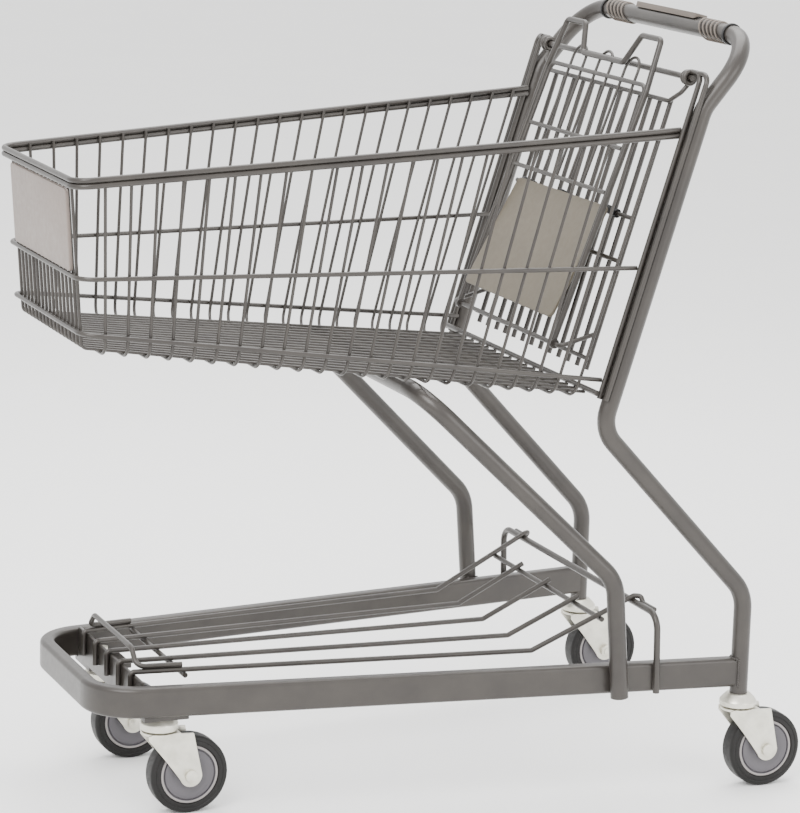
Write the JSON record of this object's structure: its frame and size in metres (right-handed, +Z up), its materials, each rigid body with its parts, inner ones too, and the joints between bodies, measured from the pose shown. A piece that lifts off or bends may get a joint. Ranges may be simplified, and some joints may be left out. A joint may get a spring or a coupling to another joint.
{
  "type": "shopping cart",
  "caption": "Wire-basket shopping cart on swivel casters, with a swinging rear gate, fold-out child seat, lower rack, tube legs and a plastic push grip.",
  "frame": {"origin": "on the floor under the middle of the overall box", "axes": "+Z up, +Y towards the handle, -Y towards the basket's nose, +X across the cart"},
  "size_m": [0.548, 1.004, 1.0279],
  "materials": {
    "frame_coating": "satin warm grey metallic powder coat",
    "zinc": "bright zinc plated pressed steel",
    "grip_plastic": "fine-grained moulded plastic",
    "nose_plastic": "smooth moulded plastic",
    "seat_plastic": "smooth moulded plastic",
    "hub_plastic": "moulded nylon",
    "dark_plastic": "moulded plastic",
    "tyre": "smooth dark grey rubber"
  },
  "bodies": {
    "chassis": {"base_rail": "frame_coating", "front_cross_member": "frame_coating", "front_stem_nuts": "zinc", "front_leg_tube": "frame_coating", "rear_leg_handle_tube": "frame_coating", "leg_plugs": "dark_plastic", "handle_grip": "grip_plastic", "grip_end_rings": "dark_plastic", "label_holder": "grip_plastic", "rack_outer_wires": "frame_coating", "rack_inner_wires": "frame_coating", "rack_cross_wires": "frame_coating", "rack_stop_hoop": "frame_coating", "rear_arch": "frame_coating", "basket_rim": "frame_coating", "basket_mid_hoop": "frame_coating", "basket_low_hoop": "frame_coating", "basket_side_wires": "frame_coating", "basket_nose_floor_wires": "frame_coating", "floor_rear_bar": "frame_coating", "nose_plate": "nose_plastic", "post_rods": "frame_coating", "gate_hinge_bar": "frame_coating", "caster_stems": "zinc", "caster_top_races": "zinc", "caster_race_balls": "zinc"},
    "gate": {"gate_top_wire": "frame_coating", "gate_bars": "frame_coating", "gate_cross_wires": "frame_coating", "seat_pivot_wire": "frame_coating"},
    "seat_back": {"seat_ear_wire": "frame_coating", "seat_back_frame": "frame_coating", "seat_cross_wires": "frame_coating", "seat_arch_wires": "frame_coating"},
    "seat_plate": {"seat_plate": "seat_plastic", "seat_plate_clips": "dark_plastic"},
    "front_left_swivel": {"front_left_caster_fork": "zinc", "front_left_caster_axle": "zinc"},
    "front_left_wheel": {"front_left_wheel_hub": "hub_plastic", "front_left_wheel_tyre": "tyre", "front_left_wheel_bush": "zinc"},
    "front_right_swivel": {"front_right_caster_fork": "zinc", "front_right_caster_axle": "zinc"},
    "front_right_wheel": {"front_right_wheel_hub": "hub_plastic", "front_right_wheel_tyre": "tyre", "front_right_wheel_bush": "zinc"},
    "rear_left_swivel": {"rear_left_caster_fork": "zinc", "rear_left_caster_axle": "zinc"},
    "rear_left_wheel": {"rear_left_wheel_hub": "hub_plastic", "rear_left_wheel_tyre": "tyre", "rear_left_wheel_bush": "zinc"},
    "rear_right_swivel": {"rear_right_caster_fork": "zinc", "rear_right_caster_axle": "zinc"},
    "rear_right_wheel": {"rear_right_wheel_hub": "hub_plastic", "rear_right_wheel_tyre": "tyre", "rear_right_wheel_bush": "zinc"}
  },
  "joints": [
    {"name": "front_left_swivel_turn", "type": "hinge", "parent": "chassis", "child": "front_left_swivel", "pos_m": [0.12, -0.365, 0.1], "axis": [0, 0, 1], "continuous": true},
    {"name": "front_left_wheel_spin", "type": "hinge", "parent": "front_left_swivel", "child": "front_left_wheel", "pos_m": [0.12, -0.3265, 0.0525], "axis": [1, 0, 0], "continuous": true},
    {"name": "front_right_swivel_turn", "type": "hinge", "parent": "chassis", "child": "front_right_swivel", "pos_m": [-0.12, -0.365, 0.1], "axis": [0, 0, 1], "continuous": true},
    {"name": "front_right_wheel_spin", "type": "hinge", "parent": "front_right_swivel", "child": "front_right_wheel", "pos_m": [-0.12, -0.3265, 0.0525], "axis": [1, 0, 0], "continuous": true},
    {"name": "rear_left_swivel_turn", "type": "hinge", "parent": "chassis", "child": "rear_left_swivel", "pos_m": [0.249, 0.411, 0.1], "axis": [0, 0, 1], "continuous": true},
    {"name": "rear_left_wheel_spin", "type": "hinge", "parent": "rear_left_swivel", "child": "rear_left_wheel", "pos_m": [0.249, 0.4495, 0.0525], "axis": [1, 0, 0], "continuous": true},
    {"name": "rear_right_swivel_turn", "type": "hinge", "parent": "chassis", "child": "rear_right_swivel", "pos_m": [-0.249, 0.411, 0.1], "axis": [0, 0, 1], "continuous": true},
    {"name": "rear_right_wheel_spin", "type": "hinge", "parent": "rear_right_swivel", "child": "rear_right_wheel", "pos_m": [-0.249, 0.4495, 0.0525], "axis": [1, 0, 0], "continuous": true},
    {"name": "gate_hinge", "type": "hinge", "parent": "chassis", "child": "gate", "pos_m": [0, 0.311, 0.957], "axis": [-1, 0, 0], "range_deg": [0, 72]},
    {"name": "seat_back_hinge", "type": "hinge", "parent": "gate", "child": "seat_back", "pos_m": [0, 0.16146, 0.603], "axis": [1, 0, 0], "range_deg": [0, 35]},
    {"name": "seat_plate_hinge", "type": "hinge", "parent": "gate", "child": "seat_plate", "pos_m": [0, 0.2546, 0.76981], "axis": [-1, 0, 0], "range_deg": [0, 62]}
  ],
  "couplings": [
    {"joint": "seat_plate_hinge", "follows": "seat_back_hinge", "ratio": 1.77}
  ]
}
